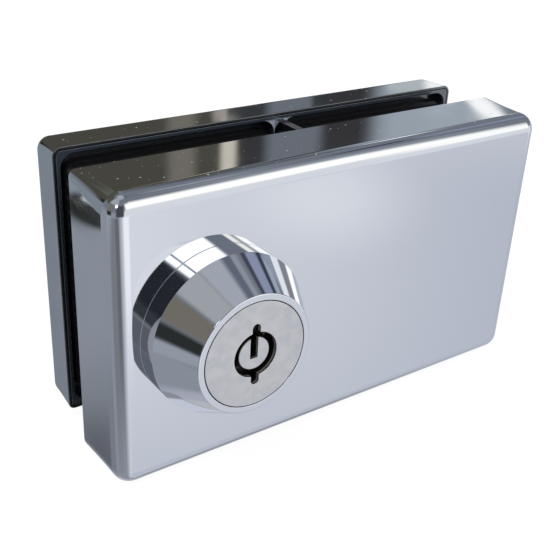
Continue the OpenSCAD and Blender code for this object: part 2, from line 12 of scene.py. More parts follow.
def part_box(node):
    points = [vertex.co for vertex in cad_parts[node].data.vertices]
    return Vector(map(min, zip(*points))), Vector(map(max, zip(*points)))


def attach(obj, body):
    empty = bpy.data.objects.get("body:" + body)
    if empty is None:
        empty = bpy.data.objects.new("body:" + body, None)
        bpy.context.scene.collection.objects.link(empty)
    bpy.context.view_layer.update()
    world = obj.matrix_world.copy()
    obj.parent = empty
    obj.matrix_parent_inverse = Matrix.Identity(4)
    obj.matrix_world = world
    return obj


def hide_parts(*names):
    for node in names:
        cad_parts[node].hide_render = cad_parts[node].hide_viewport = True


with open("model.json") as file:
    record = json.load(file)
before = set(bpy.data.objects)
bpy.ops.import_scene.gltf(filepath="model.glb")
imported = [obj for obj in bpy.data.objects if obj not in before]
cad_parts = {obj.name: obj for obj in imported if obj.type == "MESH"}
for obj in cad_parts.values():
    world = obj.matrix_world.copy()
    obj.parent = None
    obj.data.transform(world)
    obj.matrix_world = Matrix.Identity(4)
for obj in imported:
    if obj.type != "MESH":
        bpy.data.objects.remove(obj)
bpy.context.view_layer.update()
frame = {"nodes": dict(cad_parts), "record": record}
NODES = frame["nodes"]

MM = 0.001
DEGREE = math.pi / 180

# Places and sizes taken from the frame
FRONT_LOW, FRONT_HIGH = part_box("front_cover")
REAR_LOW, REAR_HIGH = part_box("rear_cover")
ROSE_LOW, ROSE_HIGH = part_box("rose")
POST_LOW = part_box("key_spindle")[0]
WEB_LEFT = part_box("centre_web")[0].x
LOCK_X = (ROSE_LOW.x + ROSE_HIGH.x) / 2
LOCK_Z = (ROSE_LOW.z + ROSE_HIGH.z) / 2
ROSE_RADIUS = (ROSE_HIGH.x - ROSE_LOW.x) / 2

# Sizes of the polished sheet and of the turned rose, as in the solids
SHEET = 0.6 * MM
FRONT_EDGE = 3.8 * MM
FRONT_CORNER = 4.0 * MM
REAR_EDGE = 2.7 * MM
REAR_CORNER = 2.8 * MM
BODY_GAP = 0.75 * MM
WEB_THICKNESS = 1.9 * MM
STEM_RADIUS = 14.0 * MM
STEM_HOLE = 14.15 * MM
BAND_HEIGHT = 4.6 * MM
ROSE_TOP = 12.4 * MM
ROSE_BORE = 11.15 * MM
FLANGE_BORE = 12.2 * MM
FLANGE_DEPTH = 8.8 * MM

# The covers' upper and lower upright corners at the slot, and the power by which they narrow
FRONT_RIM_CORNERS = (1.4 * MM, 2.8 * MM)
REAR_RIM_CORNERS = (1.9 * MM, 1.4 * MM)
NARROWING = 1.5

# Small edges that catch the light
SHEET_RIM = 0.15 * MM
FOOT_EDGE = 0.16 * MM
BAND_EDGE = 0.12 * MM
TOP_EDGE = 0.30 * MM
BORE_EDGE = 0.12 * MM
BODY_RIM = 0.6 * MM
BODY_LIP = 0.15 * MM
FINE_EDGE = 0.12 * MM
PAD_EDGE = 0.3 * MM

# How finely curves are cut
WALL_RINGS = 12
COVER_EDGE_STEPS = 16
ROSE_EDGE_STEPS = 8
CORNER_STEPS = 24
CIRCLE_STEPS = 240
HOLE_STEPS = 96
BEVEL_STEPS = 4

# What counts as the same place, as straight, as flat and as sharp
SAME_PLACE = 1e-7
STRAIGHT = 1e-6
WELD = 0.002 * MM
SAME_LEVEL = 0.01 * MM
ON_CORNER = 0.05 * MM
RIM_WIDTH = 1.2 * MM
FLAT = math.radians(0.4)
SHARP = math.radians(30)

# Camera, as worked out from the straight edges and circles of the photograph
CAMERA_AT = (-114.93, -140.67, 121.20)
CAMERA_AZIMUTH = -36.4349
CAMERA_ELEVATION = 26.8236
CAMERA_ROLL = 2.974
CAMERA_LENS = 58.78
SENSOR_WIDTH = 36.0

# Floor, the painted shade strip in the slot, and the lamp
FLOOR_HALF = 3.0
FLOOR_COLOUR = (0.85, 0.85, 0.85)
FLOOR_WHITE = 1.08
FADE_START = 0.08
FADE_END = 0.18
FADE_SHARE = 0.84
STRIP_LEVEL = 0.1 * MM
# dark colour of the painted shade strip
SHADE_STRIP_COLOUR = (0.03, 0.03, 0.032)
LAMP_AT = (-0.45, -0.35, 0.70)
LAMP_TARGET = (0, 0, 0.03)
LAMP_SIZE = 0.5
LAMP_WATTS = 3.0

# Colour and tarnish of the turned and drawn metals, and how rough they are
TURNED_METALS = {
    "brass": ((0.78, 0.58, 0.27), (0.55, 0.38, 0.17), 0.22),
    "bolt_steel": ((0.78, 0.79, 0.80), (0.66, 0.67, 0.68), 0.10),
    "web_steel": ((0.62, 0.61, 0.60), (0.52, 0.52, 0.51), 0.10),
    "plain_steel": ((0.50, 0.51, 0.53), (0.38, 0.39, 0.40), 0.25),
}


# Shader maths


class Wire:
    """An output socket that takes part in Python sums by adding Math nodes."""

    def __init__(self, shader, socket):
        self.shader = shader
        self.socket = socket

    def maths(self, operation, *values):
        settings = {"operation": operation}
        return self.shader.node("ShaderNodeMath", settings, dict(enumerate(values)))

    def __add__(self, other):
        return self.maths("ADD", self, other)

    def __radd__(self, other):
        return self.maths("ADD", other, self)

    def __sub__(self, other):
        return self.maths("SUBTRACT", self, other)

    def __rsub__(self, other):
        return self.maths("SUBTRACT", other, self)

    def __mul__(self, other):
        return self.maths("MULTIPLY", self, other)

    def __rmul__(self, other):
        return self.maths("MULTIPLY", other, self)

    def __truediv__(self, other):
        return self.maths("DIVIDE", self, other)

    def __pow__(self, other):
        return self.maths("POWER", self, other)

    def __abs__(self):
        return self.maths("ABSOLUTE", self)

    def angle_to(self, other):
        return self.maths("ARCTAN2", self, other)

    def at_most(self, other):
        return self.maths("MINIMUM", self, other)

    def at_least(self, other):
        return self.maths("MAXIMUM", self, other)

    def ramp(self, low, high, first=0.0, last=1.0):
        """Smooth step of this value from first at low to last at high."""
        settings = {"interpolation_type": "SMOOTHSTEP"}
        values = {"Value": self, "From Min": low, "From Max": high, "To Min": first, "To Max": last}
        return self.shader.node("ShaderNodeMapRange", settings, values)

    def within(self, half, softness):
        """1 where this angle is under half and 0 where it is over, with a soft edge; in degrees."""
        low = (half - softness / 2) * DEGREE
        high = (half + softness / 2) * DEGREE
        return self.ramp(low, high, 1, 0)


class Shader:
    """The node tree of one material or of the world."""

    def __init__(self, tree):
        self.tree = tree

    def node(self, kind, settings=None, values=None, output=0):
        """Adds a node: first its settings, then the values or links of its sockets."""
        made = self.tree.nodes.new(kind)
        for name, value in (settings or {}).items():
            setattr(made, name, value)
        for name, value in (values or {}).items():
            if isinstance(value, Wire):
                self.tree.links.new(value.socket, made.inputs[name])
            else:
                made.inputs[name].default_value = value
        return Wire(self, made.outputs[output]) if made.outputs else made

    def mix(self, share, first, second):
        """Colour between first and second."""
        values = {0: share, 6: rgba(first), 7: rgba(second)}
        return self.node("ShaderNodeMix", {"data_type": "RGBA"}, values, 2)

    def dot(self, vector, axis):
        settings = {"operation": "DOT_PRODUCT"}
        return self.node("ShaderNodeVectorMath", settings, {0: vector, 1: axis}, "Value")


def rgba(colour):
    """A colour socket's value from three numbers, or a link as it is."""
    return colour if isinstance(colour, Wire) else (*colour, 1.0)


def empty_material(name):
    """A new material with no nodes in it."""
    material = bpy.data.materials.new(name)
    material.use_nodes = True
    material.node_tree.nodes.clear()
    return material


# Studio


def aim_camera():
    """Puts the camera where the photograph was taken from."""
    azimuth, elevation, roll = (
        math.radians(angle) for angle in (CAMERA_AZIMUTH, CAMERA_ELEVATION, CAMERA_ROLL)
    )
    back = Vector((
        math.sin(azimuth) * math.cos(elevation),
        -math.cos(azimuth) * math.cos(elevation),
        math.sin(elevation),
    ))
    right = Vector((0, 0, 1)).cross(back).normalized()
    up = back.cross(right)
    rolled_right = right * math.cos(roll) + up * math.sin(roll)
    rolled_up = up * math.cos(roll) - right * math.sin(roll)
    data = bpy.data.cameras.new("camera")
    data.lens = CAMERA_LENS
    data.sensor_width = SENSOR_WIDTH
    data.clip_start = MM
    camera = bpy.data.objects.new("camera", data)
    turned = Matrix((rolled_right, rolled_up, back)).transposed()
    camera.matrix_world = Matrix.Translation(Vector(CAMERA_AT) * MM) @ turned.to_4x4()
    bpy.context.scene.collection.objects.link(camera)
    bpy.context.scene.camera = camera


# Panels of the studio that polished metal reflects: direction counted from the back towards the
# right, height over the horizon, half width, half height and softness, all in degrees, and colour
# as seen on screen. A later panel lies over the earlier ones.
PANELS = {
    "floor_left": (-70, -40, 75, 45, 25, (0.535, 0.56, 0.60)),
    "floor_steep": (-40, -72, 24, 10, 12, (0.64, 0.66, 0.71)),
    "floor_behind": (20, -62, 40, 22, 20, (0.70, 0.71, 0.74)),
    "floor_at_right": (84, -24, 62, 28, 16, (0.70, 0.72, 0.77)),
    "behind_glow": (10, -22, 10, 9, 16, (0.70, 0.72, 0.76)),
    "left_foot": (-108, -29, 16, 9, 10, (0.465, 0.48, 0.505)),
    "camera_foot": (-134, -27, 11, 8, 10, (0.40, 0.41, 0.43)),
    "floor_in_front": (170, -30, 32, 40, 36, (0.84, 0.855, 0.89)),
    "front_strip": (176, -20, 15, 11, 10, (0.94, 0.95, 0.98)),
    "floor_beneath": (150, -56, 40, 20, 20, (0.72, 0.74, 0.79)),
    "floor_shade": (-24, -39, 50, 6, 7, (0.47, 0.49, 0.52)),
    "floor_dark": (-22, -40, 3, 4, 4, (0.36, 0.37, 0.40)),
    "side_dim": (-18.5, -28, 3.2, 14, 1, (0.475, 0.50, 0.54)),
    "front_horizon": (152, 0, 32, 15, 12, (0.845, 0.86, 0.89)),
    "camera_side": (-152, 14, 20, 28, 9, (0.27, 0.28, 0.30)),
    "back_upper": (48, 46, 10, 7, 6, (0.35, 0.365, 0.39)),
    "side_shelf": (77, 25, 4, 3.5, 3, (0.60, 0.635, 0.685)),
    "side_gap": (79.5, 31.5, 4, 2.4, 2.5, (0.22, 0.25, 0.33)),
    "side_pane": (82, 41, 4, 6, 3, (0.53, 0.56, 0.66)),
    "side_beam": (84.5, 50, 5, 2.6, 3, (0.265, 0.28, 0.335)),
    "side_high": (89, 62, 10, 4, 6, (0.55, 0.57, 0.61)),
    "high_right": (114, 49, 9, 10, 8, (0.52, 0.55, 0.59)),
    "high_dark": (94, 69, 24, 4, 4, (0.375, 0.40, 0.455)),
    "ceiling": (0, 90, 180, 14, 6, (0.63, 0.65, 0.69)),
    "window": (150, 31.5, 28, 15.5, 15, (1.05, 1.05, 1.04)),
    "window_low": (129, 13, 8, 7, 7, (1.02, 1.02, 1.01)),
    "right_strip": (112, -4, 7, 13, 6, (0.92, 0.93, 0.95)),
    "back_high": (-28, 48, 42, 16, 8, (0.32, 0.32, 0.295)),
    "back_wall": (3.5, 23, 38.5, 19, 6, (0.285, 0.28, 0.255)),
    "side_light": (-30, -5, 11, 16, 3, (0.48, 0.515, 0.55)),
    "back_glow": (-6, 32, 14, 4, 5, (0.35, 0.355, 0.33)),
    "back_line": (-25, 15, 8, 4.2, 3, (0.17, 0.185, 0.165)),
    "back_dark": (38, 18, 4.4, 16, 1.2, (0.22, 0.22, 0.23)),
    "back_curtain": (29.8, 18, 0.9, 16, 0.9, (0.43, 0.42, 0.39)),
    "back_frame": (32.9, 18, 0.5, 16, 0.6, (0.76, 0.74, 0.69)),
    "back_shelf": (37.2, 18, 1.8, 16, 1.0, (0.41, 0.43, 0.46)),
    "back_sill": (46.2, 18, 3.6, 12, 2.6, (0.59, 0.63, 0.67)),
    "rear_gap": (33.75, 14.4, 1.1, 2.9, 0.4, (0.22, 0.23, 0.24)),
    "rear_frame": (32.25, 14.4, 0.42, 2.9, 0.5, (0.60, 0.58, 0.55)),
    "rear_end": (38.8, 13.6, 0.55, 2.9, 0.4, (0.21, 0.225, 0.235)),
    "rear_sill": (44.6, 13.3, 1.6, 1.5, 0.7, (0.69, 0.72, 0.73)),
    "back_lamp": (54, 35, 2.0, 2.5, 3, (1.0, 1.02, 1.03)),
    "left_high": (-106, 60, 34, 16, 7, (0.62, 0.635, 0.655)),
    "left_wall": (-97, 27, 14, 14, 7, (0.44, 0.425, 0.40)),
    "left_dark": (-94, 1, 12, 9.5, 8, (0.18, 0.19, 0.19)),
    "left_low": (-90, -17, 14, 7, 5, (0.575, 0.60, 0.64)),
}

# What is seen after two reflections: in the rose by way of the case, or the other way round
SECOND_PANELS = {
    "case_glow": (166, -14, 15, 14, 8, (0.87, 0.88, 0.91)),
    "low_wall": (127, -24, 16, 10, 6, (0.70, 0.725, 0.77)),
    "near_floor": (160, -56, 36, 14, 8, (0.78, 0.80, 0.85)),
    "low_strip": (118, -9.5, 20, 4.5, 3, (1.08, 1.07, 1.08)),
    "table": (110, 3, 20, 2.8, 3, (0.52, 0.525, 0.54)),
    "pane": (107, 11, 20, 5, 3, (0.92, 0.93, 0.95)),
    "shelf": (104, 22, 20, 5, 3, (0.57, 0.60, 0.67)),
    "mat": (142, -23, 12, 6, 4, (0.76, 0.79, 0.84)),
    "mat_edge": (139, -8.5, 9, 7.5, 4, (1.04, 1.04, 1.03)),
    "sill": (139, 2.5, 9, 2.2, 3, (0.66, 0.66, 0.65)),
    "front_wall": (140, 8, 9, 3.4, 3, (0.97, 0.97, 0.95)),
    "front_dark": (146, 20, 8, 7.5, 4, (0.43, 0.455, 0.50)),
    "front_window": (173.5, 36, 22.5, 9, 4, (1.1, 1.1, 1.1)),
    "window_bar": (-172, 38, 1.0, 9, 1, (0.40, 0.47, 0.54)),
    "coat": (-146, 17, 17, 19, 5, (0.155, 0.165, 0.185)),
    "coat_hem": (-146, -4, 15, 6, 6, (0.215, 0.23, 0.25)),
    "shoes": (-148, -22, 16, 11, 4, (0.355, 0.37, 0.40)),
    "far_shadow": (-170, -39, 29, 7, 5, (0.365, 0.385, 0.425)),
}

# Round patches: direction, height, half width and half height in degrees, softness as a share of
# the size, how many degrees they rise for each degree to the right, and colour
PATCHES = {
    "back_window": (49.5, 15.4, 6, 0.70, 0.3, 0.8, (1.0, 1.0, 1.0)),
    "rear_window": (46.6, 13.9, 1.3, 1.2, 0.25, 0.0, (1.0, 1.0, 1.0)),
    "face_glow": (141, -21.6, 4.4, 2.6, 0.95, 0.0, (0.855, 0.87, 0.897)),
    "side_patch": (-23.6, -22.85, 1.9, 1.0, 0.24, 0.32, (0.165, 0.17, 0.16)),
    "side_streak": (-23.7, -22.12, 0.42, 0.14, 0.3, 0.42, (1.4, 1.42, 1.4)),
    "side_glint": (-24.54, -22.77, 0.14, 0.12, 0.3, 0.0, (1.1, 1.12, 1.13)),
    "left_lamp": (-129, 39, 7, 7, 0.3, 0.0, (1.9, 1.95, 2.1)),
}

# The room round the panels, how many degrees its halves blend over, and its light on matt surfaces
UPPER_ROOM = (0.435, 0.46, 0.50)
LOWER_ROOM = (0.56, 0.57, 0.60)
HORIZON = 12
ROOM_LIGHT = 0.75
SCREEN_GAMMA = 2.2


def seen(colour):
    """Linear colour of one that is given as it is seen on screen."""
    return tuple(part ** SCREEN_GAMMA for part in colour)


def lay_panels(sky, azimuth, height, panels):
    """Lays soft-edged panels over the room's two colours."""
    upper = height.ramp(-HORIZON * DEGREE, HORIZON * DEGREE)
    room = sky.mix(upper, seen(LOWER_ROOM), seen(UPPER_ROOM))
    for turn, rise, half_width, half_height, softness, colour in panels.values():
        aside = azimuth - turn * DEGREE
        aside = aside.maths("PINGPONG", aside, math.pi)
        above = abs(height - rise * DEGREE)
        mask = aside.within(half_width, softness) * above.within(half_height, softness)
        room = sky.mix(mask, room, seen(colour))
    return room


def lay_patches(sky, azimuth, height, room):
    """Lays the round patches over the room."""
    for turn, rise, half_width, half_height, softness, tilt, colour in PATCHES.values():
        aside = azimuth - turn * DEGREE
        above = height - rise * DEGREE - aside * tilt
        across = aside / (half_width * DEGREE)
        along = above / (half_height * DEGREE)
        away = (across * across + along * along) ** 0.5
        room = sky.mix(away.ramp(1 - softness, 1 + softness, 1, 0), room, seen(colour))
    return room


def light_world():
    """The room for metal to reflect, white for the camera and even light for the rest."""
    world = bpy.data.worlds.new("studio")
    world.use_nodes = True
    world.node_tree.nodes.clear()
    sky = Shader(world.node_tree)
    towards = sky.node("ShaderNodeTexCoord", output="Generated")
    rise = sky.dot(towards, (0, 0, 1))
    height = rise.maths("ARCSINE", rise)
    azimuth = sky.dot(towards, (1, 0, 0)).angle_to(sky.dot(towards, (0, 1, 0)))
    first = lay_patches(sky, azimuth, height, lay_panels(sky, azimuth, height, PANELS))
    second = lay_panels(sky, azimuth, height, SECOND_PANELS)
    glossy, camera, bounces = (
        sky.node("ShaderNodeLightPath", output=name)
        for name in ("Is Glossy Ray", "Is Camera Ray", "Glossy Depth")
    )
    even = sky.mix(camera, (ROOM_LIGHT,) * 3, (1, 1, 1))
    once, twice, plain = (
        sky.node("ShaderNodeBackground", values={"Color": colour})
        for colour in (first, second, even)
    )
    again = bounces.maths("GREATER_THAN", bounces, 1.5)
    mirrored = sky.node("ShaderNodeMixShader", values={0: again, 1: once, 2: twice})
    shown = sky.node("ShaderNodeMixShader", values={0: glossy, 1: plain, 2: mirrored})
    sky.node("ShaderNodeOutputWorld", values={"Surface": shown})
    bpy.context.scene.world = world


def add_lamp():
    """A large soft lamp that lights the surfaces and isn't seen in the metal."""
    data = bpy.data.lights.new("key_lamp", "AREA")
    data.shape = "SQUARE"
    data.size = LAMP_SIZE
    data.energy = LAMP_WATTS
    lamp = bpy.data.objects.new("key_lamp", data)
    lamp.location = LAMP_AT
    way = Vector(LAMP_TARGET) - Vector(LAMP_AT)
    lamp.rotation_euler = way.to_track_quat("-Z", "Y").to_euler()
    lamp.visible_glossy = False
    bpy.context.scene.collection.objects.link(lamp)


def lay_sheet(name, low, high, level):
    """A flat sheet between two corners at a level, and the shader of its material."""
    mesh = bpy.data.meshes.new(name)
    corners = ((low.x, low.y), (high.x, low.y), (high.x, high.y), (low.x, high.y))
    mesh.from_pydata([(x, y, level) for x, y in corners], [], [(0, 1, 2, 3)])
    sheet = bpy.data.objects.new(name, mesh)
    bpy.context.scene.collection.objects.link(sheet)
    material = empty_material(name)
    sheet.data.materials.append(material)
    return sheet, Shader(material.node_tree)


def lay_floor():
    """Plain pale floor that keeps the lock's shadow and fades to white."""
    reach = Vector((FLOOR_HALF, FLOOR_HALF))
    floor, paint = lay_sheet("floor", -reach, reach, 0)
    floor.visible_glossy = False
    place = paint.node("ShaderNodeTexCoord", output="Object")
    away = paint.node("ShaderNodeVectorMath", {"operation": "LENGTH"}, {0: place}, "Value")
    fade = away.ramp(FADE_START, FADE_END, FADE_SHARE, 1.0)
    camera = paint.node("ShaderNodeLightPath", output="Is Camera Ray")
    matt = paint.node("ShaderNodeBsdfDiffuse", values={"Color": rgba(FLOOR_COLOUR)})
    white = {"Color": (1, 1, 1, 1), "Strength": FLOOR_WHITE}
    glow = paint.node("ShaderNodeEmission", values=white)
    both = paint.node("ShaderNodeMixShader", values={0: fade * camera, 1: matt, 2: glow})
    paint.node("ShaderNodeOutputMaterial", values={"Surface": both})


def shade_slot():
    """Painted shade: a dark sheet that stands for the floor's shadow between the cases and that
    only glossy surfaces see.
    """
    low = Vector((REAR_LOW.x, FRONT_HIGH.y))
    high = Vector((REAR_HIGH.x, REAR_LOW.y))
    strip, paint = lay_sheet("slot_shade", low, high, STRIP_LEVEL)
    strip.visible_camera = False
    strip.visible_diffuse = False
    strip.visible_transmission = False
    strip.visible_shadow = False
    dark = paint.node("ShaderNodeEmission", values={"Color": rgba(SHADE_STRIP_COLOUR), "Strength": 1.0})
    paint.node("ShaderNodeOutputMaterial", values={"Surface": dark})


# Meshes with exact normals


class Skin:
    """Gathers faces whose corners carry exact normals, so that polished metal reflects cleanly."""

    def __init__(self):
        self.points = []
        self.faces = []
        self.normals = []

    def ring(self, points):
        first = len(self.points)
        self.points += points
        return list(range(first, len(self.points)))

    def add(self, corners, normals):
        """One face, turned so that it looks the way its normals point."""
        middle = sum((self.points[corner] for corner in corners), Vector()) / len(corners)
        area = Vector()
        for here, corner in enumerate(corners):
            ahead = self.points[corners[(here + 1) % len(corners)]]
            area += (self.points[corner] - middle).cross(ahead - middle)
        if area.dot(sum(normals, Vector())) < 0:
            corners = corners[::-1]
            normals = normals[::-1]
        self.faces.append(corners)
        self.normals += normals

    def band(self, first, second, first_normals, second_normals):
        """Faces between two closed rings of as many points."""
        for here in range(len(first)):
            ahead = (here + 1) % len(first)
            self.add([first[here], first[ahead], second[ahead], second[here]],
                     [first_normals[here], first_normals[ahead],
                      second_normals[ahead], second_normals[here]])

    def fill(self, rings, normal):
        """Flat face inside the first ring, less the rings of its holes."""
        flat = [index for ring in rings for index in ring]
        loops = [[self.points[index] for index in ring] for ring in rings]
        for triangle in tessellate_polygon(loops):
            self.add([flat[corner] for corner in triangle], [normal] * 3)

    def finish(self, name):
        mesh = bpy.data.meshes.new(name)
        mesh.from_pydata(self.points, [], self.faces)
        mesh.polygons.foreach_set("use_smooth", [True] * len(self.faces))
        mesh.normals_split_custom_set([tuple(normal) for normal in self.normals])
        piece = bpy.data.objects.new(name, mesh)
        bpy.context.scene.collection.objects.link(piece)
        return piece


def eased_profile(corners, closed, steps):
    """Points and outward normals along a section of round corners, each (out, deep, radius)."""
    count = len(corners)
    spots = [Vector(corner[:2]) for corner in corners]
    samples = []
    for here, (spot, corner) in enumerate(zip(spots, corners)):
        before = (spot - spots[here - 1]).normalized()
        after = (spots[(here + 1) % count] - spot).normalized()
        if not closed and here in (0, count - 1):
            way = after if here == 0 else before
            samples.append((spot, Vector((way.y, -way.x))))
            continue
        first_normal = Vector((before.y, -before.x))
        turn = -before.angle_signed(after)
        if abs(turn) < STRAIGHT:
            samples.append((spot, first_normal))
            continue
        radius = corner[2] if turn > 0 else -corner[2]
        reach = abs(radius) * math.tan(abs(turn) / 2)
        centre = spot - before * reach - first_normal * radius
        for step in range(steps + 1):
            angle = turn * step / steps
            cosine, sine = math.cos(angle), math.sin(angle)
            normal = Vector((first_normal.x * cosine - first_normal.y * sine,
                             first_normal.x * sine + first_normal.y * cosine))
            samples.append((centre + normal * radius, normal))
    return samples


def circle_outline(steps=CIRCLE_STEPS):
    """Centre, inward step and outward direction of each spot on a circle about the key axis."""
    turns = [2 * math.pi * step / steps for step in range(steps)]
    return [(Vector((LOCK_X, 0, LOCK_Z)), Vector(), Vector((math.cos(turn), 0, math.sin(turn))))
            for turn in turns]


def box_outline(low, high):
    """Sharp corner, inward step and outward direction of each spot round a case's outline."""
    corners = ((high.x, high.z, 1, 1), (low.x, high.z, -1, 1),
               (low.x, low.z, -1, -1), (high.x, low.z, 1, -1))
    places = []
    for quarter, (x, z, right, up) in enumerate(corners):
        for step in range(CORNER_STEPS + 1):
            turn = math.pi / 2 * (quarter + step / CORNER_STEPS)
            places.append((Vector((x, 0, z)), Vector((-right, 0, -up)),
                           Vector((math.cos(turn), 0, math.sin(turn)))))
    return places


def no_corner(deep, inward):
    """Radius and slope on an outline that has no upright corners."""
    return 0, 0


def narrowing(face, rims, start, depth):
    """Gives a corner's radius at a depth, and its slope, from the face's to that of the rim.

    The rims' radii are the upper and the lower corners'.
    """
    def corner(deep, inward):
        share = min(max((deep - start) / (depth - start), 0), 1)
        fall = face - (rims[1] if inward.z > 0 else rims[0])
        slope = -NARROWING * fall * share ** (NARROWING - 1) / (depth - start)
        return face - fall * share ** NARROWING, slope
    return corner


def sweep(skin, outline, section, level, way=1, closed=False, corner=no_corner):
    """Carries a section round an outline from a level along y, and gives back its rings."""
    rings = []
    tilts = []
    for here, (spot, normal) in enumerate(section):
        place = Vector((0, level + way * spot.y, 0))
        same = here > 0 and (spot - section[here - 1][0]).length < SAME_PLACE
        points = []
        looks = []
        for edge, inward, direction in outline:
            radius, slope = corner(spot.y, inward)
            points.append(edge + inward * radius + place + direction * (radius + spot.x))
            lean = normal.y - normal.x * slope * (1 + direction.dot(inward))
            looks.append((direction * normal.x + Vector((0, way * lean, 0))).normalized())
        rings.append(rings[-1] if same else skin.ring(points))
        tilts.append(looks)
    spans = len(section) if closed else len(section) - 1
    for here in range(spans):
        ahead = (here + 1) % len(section)
        if rings[here] != rings[ahead]:
            skin.band(rings[here], rings[ahead], tilts[here], tilts[ahead])
    return rings


def place_piece(piece, body, node, finish):
    """Dresses a piece, lets it ride on its body and stand for its node."""
    piece.data.materials.clear()
    piece.data.materials.append(finish)
    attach(piece, body)
    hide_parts(node)


def cover_section(edge, depth):
    """Section of a drawn cover: out of its face, round its edge, down its wall and back inside."""
    wall = depth - SHEET_RIM - edge
    levels = [edge + wall * ring / WALL_RINGS for ring in range(1, WALL_RINGS)]
    outside = [(0, level, 0) for level in levels]
    inside = [(-SHEET, level, 0) for level in reversed(levels)]
    return eased_profile([
        (-edge, 0, 0), (0, 0, edge), *outside, (0, depth, SHEET_RIM),
        (-SHEET, depth, SHEET_RIM), *inside, (-SHEET, SHEET, edge - SHEET),
        (-edge, SHEET, 0)], closed=False, steps=COVER_EDGE_STEPS)


FRONT_DEPTH = FRONT_HIGH.y - FRONT_LOW.y
REAR_DEPTH = REAR_HIGH.y - REAR_LOW.y
FRONT_CORNERS = narrowing(FRONT_CORNER, FRONT_RIM_CORNERS, FRONT_EDGE, FRONT_DEPTH)
REAR_CORNERS = narrowing(REAR_CORNER, REAR_RIM_CORNERS, REAR_EDGE, REAR_DEPTH)


def front_cover(finish):
    """The front case's cover, with the hole that the rose's stem goes through."""
    skin = Skin()
    section = cover_section(FRONT_EDGE, FRONT_DEPTH)
    outline = box_outline(FRONT_LOW, FRONT_HIGH)
    rings = sweep(skin, outline, section, FRONT_LOW.y, corner=FRONT_CORNERS)
    middle = Vector((LOCK_X, FRONT_LOW.y, LOCK_Z))
    around = [direction for *place, direction in circle_outline(HOLE_STEPS)]
    inward = [-direction for direction in around]
    sheet = Vector((0, SHEET, 0))
    outer = skin.ring([middle + direction * STEM_HOLE for direction in around])
    inner = skin.ring([middle + direction * STEM_HOLE + sheet for direction in around])
    skin.band(outer, inner, inward, inward)
    skin.fill([rings[0], outer], Vector((0, -1, 0)))
    skin.fill([rings[-1], inner], Vector((0, 1, 0)))
    place_piece(skin.finish("front_case_shell"), "root", "front_cover", finish)


def rear_cover(finish):
    """The rear case's cover, whose face is closed."""
    skin = Skin()
    section = cover_section(REAR_EDGE, REAR_DEPTH)
    outline = box_outline(REAR_LOW, REAR_HIGH)
    rings = sweep(skin, outline, section, REAR_HIGH.y, -1, corner=REAR_CORNERS)
    skin.fill([rings[0]], Vector((0, 1, 0)))
    skin.fill([rings[-1]], Vector((0, -1, 0)))
    place_piece(skin.finish("rear_case_shell"), "root", "rear_cover", finish)


def rose(finish):
    """The turned rose: bore, front ring, cone, band, foot, stem and the seat of the flange."""
    skin = Skin()
    height = FRONT_LOW.y - ROSE_LOW.y
    stem_end = ROSE_HIGH.y - ROSE_LOW.y
    section = eased_profile([
        (ROSE_BORE, 0, BORE_EDGE), (ROSE_TOP, 0, TOP_EDGE),
        (ROSE_RADIUS, height - BAND_HEIGHT, BAND_EDGE), (ROSE_RADIUS, height, FOOT_EDGE),
        (STEM_RADIUS, height, 0), (STEM_RADIUS, stem_end, 0),
        (FLANGE_BORE, stem_end, 0), (FLANGE_BORE, FLANGE_DEPTH, 0),
        (ROSE_BORE, FLANGE_DEPTH, 0)], closed=True, steps=ROSE_EDGE_STEPS)
    sweep(skin, circle_outline(), section, ROSE_LOW.y, closed=True)
    place_piece(skin.finish("turned_rose"), "root", "rose", finish)


def follow_cover(low, high, level, way, corner):
    """Moves the outer upright corners of a moulded body along with those of its cover."""
    full = corner(0, Vector())[0]

    def change(shape):
        for vertex in shape.verts:
            spot = vertex.co
            right = 1 if spot.x > (low.x + high.x) / 2 else -1
            up = 1 if spot.z > (low.z + high.z) / 2 else -1
            edge = Vector((high.x if right > 0 else low.x, 0, high.z if up > 0 else low.z))
            inward = Vector((-right, 0, -up))
            reach = Vector((spot.x, 0, spot.z)) - edge - inward * full
            beyond = reach.x * right > -SAME_LEVEL and reach.z * up > -SAME_LEVEL
            if beyond and abs(full - BODY_GAP - reach.length) < ON_CORNER:
                radius = corner(way * (spot.y - level), inward)[0]
                moved = edge + inward * radius + reach.normalized() * (radius - BODY_GAP)
                vertex.co = Vector((moved.x, spot.y, moved.z))
    return change


def order_faces(shape):
    """Puts a mesh's faces in the order of their corners. The bevel's own order varies by run."""
    shape.verts.index_update()
    faces = sorted(shape.faces, key=lambda face: sorted(vertex.index for vertex in face.verts))
    place = {face: number for number, face in enumerate(faces)}
    shape.faces.sort(key=lambda face: place[face])


def eased_copy(node, name, rounds, change=None):
    """Copy of a CAD node with round edges. A round has a radius and a test on an edge's ends."""
    shape = bmesh.new()
    shape.from_mesh(NODES[node].data)
    bmesh.ops.remove_doubles(shape, verts=shape.verts, dist=WELD)
    bmesh.ops.dissolve_limit(shape, angle_limit=FLAT, verts=shape.verts, edges=shape.edges)
    if change:
        change(shape)
    for radius, chosen in rounds:
        edges = [edge for edge in shape.edges
                 if len(edge.link_faces) == 2 and edge.calc_face_angle(0) > SHARP
                 and chosen(edge.verts[0].co, edge.verts[1].co)]
        bmesh.ops.bevel(shape, geom=edges, offset=radius, offset_type="OFFSET",
                        segments=BEVEL_STEPS, profile=0.5, affect="EDGES", clamp_overlap=True)
    order_faces(shape)
    for edge in shape.edges:
        edge.smooth = len(edge.link_faces) == 2 and edge.calc_face_angle(0) < SHARP
    for face in shape.faces:
        face.smooth = True
    mesh = bpy.data.meshes.new(name)
    shape.to_mesh(mesh)
    shape.free()
    piece = bpy.data.objects.new(name, mesh)
    bpy.context.scene.collection.objects.link(piece)
    weighted = piece.modifiers.new("even_normals", "WEIGHTED_NORMAL")
    weighted.keep_sharp = True
    return piece


